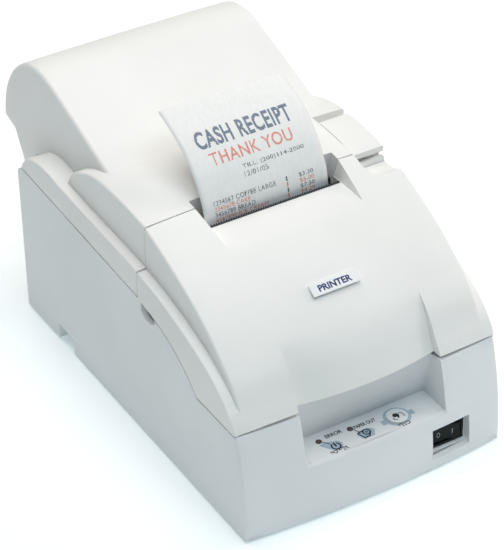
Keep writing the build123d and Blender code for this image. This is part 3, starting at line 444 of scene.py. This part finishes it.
def receipt():
    sheet = Sheet()
    columns, rows = 28, 90
    vertices, faces = [], []
    for face_lift in (0.0, -0.12 * MM):
        for r in range(rows + 1):
            for c in range(columns + 1):
                x = sheet.middle + sheet.half * (2 * c / columns - 1)
                vertices.append(sheet.at(x, sheet.length * r / rows, face_lift))
    layer = (rows + 1) * (columns + 1)

    def index(r, c, back):
        return r * (columns + 1) + c + back * layer

    for r in range(rows):
        for c in range(columns):
            faces.append((index(r, c, 0), index(r + 1, c, 0), index(r + 1, c + 1, 0), index(r, c + 1, 0)))
            faces.append((index(r, c, 1), index(r, c + 1, 1), index(r + 1, c + 1, 1), index(r + 1, c, 1)))
    for r in range(rows):
        faces.append((index(r, 0, 0), index(r, 0, 1), index(r + 1, 0, 1), index(r + 1, 0, 0)))
        faces.append((index(r, columns, 0), index(r + 1, columns, 0), index(r + 1, columns, 1),
                      index(r, columns, 1)))
    for c in range(columns):
        faces.append((index(0, c, 0), index(0, c + 1, 0), index(0, c + 1, 1), index(0, c, 1)))
        faces.append((index(rows, c, 0), index(rows, c, 1), index(rows, c + 1, 1), index(rows, c + 1, 0)))
    paper_sheet = mesh_object("receipt_sheet", vertices, faces, paper, "roll_cover", True)
    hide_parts("receipt")

    def line(name, words, x, base, height, width, material, pitch=0.27, radius=0.17, spread=0.0):
        def place(u, v, lift):
            return sheet.at(x * MM + u, base * MM - v, lift)
        dot_text(name, words, place, height * MM, width * MM, pitch * MM, radius * MM, material, "roll_cover",
                 spread)

    line("print_title", "CASH RECEIPT", -31.6, 30.2, 10.3, 57.6, print_blue, 0.40, 0.24, 0.028)
    line("print_subtitle", "THANK YOU", -28.0, 40.3, 7.0, 49.6, print_red, 0.34, 0.20, 0.008)
    line("print_till", "TILL: (200)114-2000", -12.0, 46.7, 2.6, 37.6, print_black)
    line("print_date", "12/01/05", -12.1, 50.7, 2.6, 14.3, print_black)
    rows = [("1234567 COFFEE LARGE", 37.7, "$3.30", print_black),
            ("2345678 CAKE", 21.6, "$5.00", print_red),
            ("3456789 BREAD", 24.2, "$7.50", print_black),
            ("4567890 ICE CREAM", 31.8, "$4.20", print_red)]
    for n, (words, width, price, material) in enumerate(rows):
        base = 60.4 + 3.15 * n
        line(f"print_item_{n}", words, -33.8, base, 2.5, width, material)
        line(f"print_count_{n}", "1", 10.4, base - 0.3, 2.5, 0.8, material)
        line(f"print_price_{n}", price, 18.4, base, 2.5, 8.8, material)


receipt()


# --- control panel ----------------------------------------------------------------------
TINT_LIFT = 0.01        # height of the tinted fields, under the ink, mm
FILM_BEND = -139.4      # where the film starts down over the shelf's front edge, mm
FILM_SLOPE = 0.19       # fall of the film beyond that bend
BUTTON_FLANGE = 1.2     # width of the button's hidden flange, mm


def panel_graphics():
    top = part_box("panel_label")[1].z

    def on_panel(x, y):
        def place(u, v, lift):
            forward = min(max(FILM_BEND * MM - (y * MM + v), 0.0), 0.8 * MM)
            return Vector((x * MM + u, y * MM + v, top + lift - FILM_SLOPE * forward))
        return place

    def shape(name, outline, lift, material, body="case", level=None):
        height = (top if level is None else level) + lift * MM
        points = [Vector((x * MM, y * MM, height)) for x, y in outline]
        return mesh_object(name, points, [tuple(range(len(points)))], material, body)

    def ring(name, x, y, r, width, lift, material, start=0.0, end=360.0, body="case", level=None):
        height = (top if level is None else level) + lift * MM
        count = 40
        vertices, faces = [], []
        for k in range(count + 1):
            angle = math.radians(start + (end - start) * k / count)
            for reach in (r - width / 2, r + width / 2):
                vertices.append(Vector(((x + reach * math.cos(angle)) * MM,
                                        (y + reach * math.sin(angle)) * MM, height)))
        for k in range(count):
            faces.append((2 * k, 2 * k + 1, 2 * k + 3, 2 * k + 2))
        return mesh_object(name, vertices, faces, material, body)

    def stroke(name, points, width, lift, material, body="case", level=None):
        """Line of even width through the points, one quad per run with square ends."""
        height = (top if level is None else level) + lift * MM
        vertices, faces = [], []
        for a, b in zip(points, points[1:]):
            run = Vector((b[0] - a[0], b[1] - a[1])).normalized()
            across = Vector((-run.y, run.x)) * width / 2
            along = run * width * 0.35
            start = len(vertices)
            for end, sign in ((a, -1), (b, 1)):
                for side in (-1, 1):
                    x = end[0] + along.x * sign + across.x * side
                    y = end[1] + along.y * sign + across.y * side
                    vertices.append(Vector((x * MM, y * MM, height)))
            faces.append((start, start + 1, start + 3, start + 2))
        return mesh_object(name, vertices, faces, material, body)

    labels = (("label_error", "ERROR", -22.2, -127.3, 10.0, 2.7),
              ("label_paper", "PAPER OUT", -5.4, -128.8, 13.2, 2.7),
              ("label_power", "POWER", -26.6, -139.9, 10.6, 2.6),
              ("label_feed", "FEED", 15.2, -139.9, 7.2, 2.5))
    for name, words, x, y, width, height in labels:
        flat_text(name, words, on_panel(x, y), height * MM, width * MM, panel_ink, "case",
                  0.03)
    # film feathered down to the shelf along its front edge
    lip = [Vector((x * MM, y * MM, top + drop * MM)) for x in (-39.5, 39.5)
           for y, drop in ((FILM_BEND + 1.0, 0.012), (FILM_BEND, 0.012), (FILM_BEND - 0.8, -0.14))]
    mesh_object("film_edge", lip, [(0, 1, 4, 3), (1, 2, 5, 4)], panel_film, "case", True)
    # tinted fields: from the left lamp to the power icon, under the paper icon, and a ring with two ears
    # around the button
    shape("field_power", [(-28.6, -130.0), (-25.2, -129.2), (-18.5, -131.4), (-16.8, -134.2),
                          (-18.2, -137.4), (-22.4, -138.2), (-25.4, -135.6)], TINT_LIFT, panel_tint)
    shape("field_paper", [(-7.4, -133.2), (-5.0, -131.2), (0.6, -131.0), (3.4, -133.6), (1.0, -138.0),
                          (-5.6, -138.4)], TINT_LIFT, panel_tint)
    low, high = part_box("feed_button")
    middle, reach = (low + high) / 2 / MM, (high.x - low.x) / 2 / MM - BUTTON_FLANGE
    ring("field_feed_ring", middle.x, middle.y, reach + 1.1, 1.3, TINT_LIFT, panel_tint)
    for name, near, far in (("field_feed_left", -reach - 1.6, -reach - 4.2),
                            ("field_feed_right", reach + 1.6, reach + 4.2)):
        shape(name, [(middle.x + far, middle.y + 1.2), (middle.x + far, middle.y - 2.6),
                     (middle.x + near, middle.y - 2.6), (middle.x + near, middle.y + 1.2)], 0.008, panel_tint)
    # lines from the lamps to their icons
    stroke("lead_power", [(-25.6, -128.4), (-22.8, -132.2)], 0.55, INK_LIFT, panel_ink)
    stroke("lead_paper", [(-6.4, -128.8), (-5.0, -131.6)], 0.55, INK_LIFT, panel_ink)
    # power icon: a ring with an upright bar
    ring("icon_power_ring", -21.2, -134.9, 2.4, 0.95, INK_LIFT, panel_ink, 120, 420)
    stroke("icon_power_bar", [(-21.2, -132.3), (-21.2, -135.0)], 1.1, INK_LIFT, panel_ink)
    # paper icon: roll with a sheet
    ring("icon_roll_outer", -1.6, -133.6, 2.0, 0.9, INK_LIFT, panel_ink)
    ring("icon_roll_core", -1.6, -133.6, 0.55, 0.5, INK_LIFT, panel_ink)
    stroke("icon_sheet", [(-2.8, -131.9), (-6.2, -132.4), (-5.6, -134.8), (-4.8, -137.2), (-1.6, -137.0),
                          (0.2, -134.4)], 0.85, INK_LIFT, panel_ink)
    # hand-and-sheet icon on the button
    cap = high.z
    x, y = middle.x, middle.y
    shape("icon_hand", [(x - 2.6, y + 0.6), (x - 1.6, y + 2.2), (x + 0.4, y + 2.0), (x + 1.4, y + 0.6),
                        (x + 0.9, y - 0.6), (x + 0.2, y - 2.2), (x - 0.5, y - 2.2), (x - 0.6, y - 0.7),
                        (x - 1.9, y - 0.9)], INK_LIFT, panel_ink, "feed_button", cap)
    stroke("icon_sheet_right", [(x + 1.8, y + 1.4), (x + 3.2, y + 0.8), (x + 3.4, y - 1.0),
                                (x + 3.4, y - 2.2)], 0.55, INK_LIFT, panel_ink, "feed_button", cap)
    stroke("icon_sheet_left", [(x - 3.0, y - 0.8), (x - 3.0, y - 2.4), (x - 1.6, y - 3.2)], 0.55, INK_LIFT,
           panel_ink, "feed_button", cap)


panel_graphics()


# --- power switch marks and badge ----------------------------------------------------------
ROCKER_PIVOT = -135.0   # depth of the rocker's axis, mm


def switch_marks():
    low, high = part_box("power_rocker")
    pivot = Vector((46.0 * MM, ROCKER_PIVOT * MM, (low.z + high.z) / 2))
    tilt = Matrix.Rotation(math.radians(-6), 4, "Z")

    def on_face(x, z, lift=0.04):
        depth = 3.7 + 0.9 * abs(x) / 8.2
        return pivot + tilt @ Vector((x * MM, -(depth + lift) * MM, z * MM))

    vertices, faces = [], []
    count = 32
    for k in range(count):
        angle = 2 * math.pi * k / count
        for reach in (0.8, 1.15):
            across, up = 0.936 * reach * math.cos(angle), 1.45 * reach * math.sin(angle)
            vertices.append(on_face(-4.6 + across, up))
    for k in range(count):
        a, b = 2 * k, 2 * ((k + 1) % count)
        faces.append((a, a + 1, b + 1, b))
    mesh_object("mark_off", vertices, faces, mark_white, "power_rocker")
    bar = [on_face(x, z) for x, z in ((3.6, -1.7), (4.1, -1.7), (4.1, 1.7), (3.6, 1.7))]
    mesh_object("mark_on", bar, [(0, 1, 2, 3)], mark_white, "power_rocker")


switch_marks()


def badge_mark():
    """A plain generic word on the blank badge."""
    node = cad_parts["badge_plate"].data
    top = max(node.polygons, key=lambda f: (round(f.area, 8), f.normal.z))
    normal = top.normal.copy()
    if normal.z < 0:
        normal.negate()
    right = Vector((1, 0, 0))
    up = normal.cross(right)
    low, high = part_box("badge_plate")
    reach = max(v.co.dot(normal) for v in node.vertices)
    middle = (low + high) / 2
    middle += normal * (reach - middle.dot(normal))
    width, height = 20.0 * MM, 3.7 * MM

    def place(u, v, lift):
        return middle + right * (u - width / 2) + up * (v - height / 2) + normal * lift

    flat_text("badge_word", "PRINTER", place, height, width, badge_ink, "printer_cover", 0.035)


badge_mark()


# --- studio -------------------------------------------------------------------------------
def studio():
    world = bpy.data.worlds.new("studio")
    bpy.context.scene.world = world
    world.use_nodes = True
    world.node_tree.nodes["Background"].inputs["Color"].default_value = (0.45, 0.80, 1.0, 1)
    world.node_tree.nodes["Background"].inputs["Strength"].default_value = 0.10
    floor_shader = Shader("floor")
    cloud = floor_shader.noise(1.2, 2.0)
    floor_shader.tint(cloud, (0.93, 0.93, 0.93), (0.95, 0.95, 0.95))
    floor_shader.set(Roughness=0.9, Specular_IOR_Level=0.1, Emission_Color=(0.80, 0.97, 1.0),
                     Emission_Strength=0.24)
    half = 4.0
    data = bpy.data.meshes.new("floor")
    corners = [(-half, -half, 0), (half, -half, 0), (half, half, 0), (-half, half, 0)]
    data.from_pydata(corners, [], [(0, 1, 2, 3)])
    floor = bpy.data.objects.new("floor", data)
    bpy.context.collection.objects.link(floor)
    floor.data.materials.append(floor_shader.material)

    def area(name, at, aim, size, power, colour):
        light = bpy.data.lights.new(name, "AREA")
        light.shape = "RECTANGLE"
        light.size, light.size_y = size
        light.energy = power
        light.color = colour
        obj = bpy.data.objects.new(name, light)
        obj.location = at
        obj.rotation_mode = "QUATERNION"
        obj.rotation_quaternion = (Vector(aim) - Vector(at)).to_track_quat("-Z", "Y")
        bpy.context.collection.objects.link(obj)

    area("key", (0.0, 0.1, 1.7), (0, 0, 0.05), (1.3, 1.2), 12.2, (1.0, 0.972, 0.93))
    area("rear", (-0.1, 0.9, 1.5), (0, 0, 0.05), (1.4, 1.2), 9.2, (1.0, 0.89, 0.84))
    area("right", (1.5, -0.3, 0.9), (0, 0, 0.08), (1.0, 0.8), 10.8, (1.0, 0.90, 0.86))
    area("front", (-0.1, -0.8, 1.5), (0, 0, 0.05), (1.2, 0.8), 8.6, (0.80, 0.92, 1.0))


studio()


def camera():
    data = bpy.data.cameras.new("camera")
    data.lens = 152.13
    data.sensor_width = 36.0
    data.clip_start, data.clip_end = 0.05, 20
    obj = bpy.data.objects.new("camera", data)
    azimuth, elevation, roll = math.radians(-30.753), math.radians(35.560), math.radians(-0.946)
    back = Vector((math.sin(azimuth) * math.cos(elevation), -math.cos(azimuth) * math.cos(elevation),
                   math.sin(elevation)))
    right = (-back).cross(Vector((0, 0, 1))).normalized()
    up = right.cross(-back)
    right_rolled = right * math.cos(roll) + up * math.sin(roll)
    up_rolled = up * math.cos(roll) - right * math.sin(roll)
    place = Vector((0, -0.0008, 0.070)) + right_rolled * 0.00859 - up_rolled * 0.01246 + back * 1.28137
    matrix = Matrix((right_rolled, up_rolled, back)).transposed().to_4x4()
    matrix.translation = place
    obj.matrix_world = matrix
    bpy.context.collection.objects.link(obj)
    bpy.context.scene.camera = obj
    bpy.context.scene.view_settings.view_transform = "Standard"


camera()
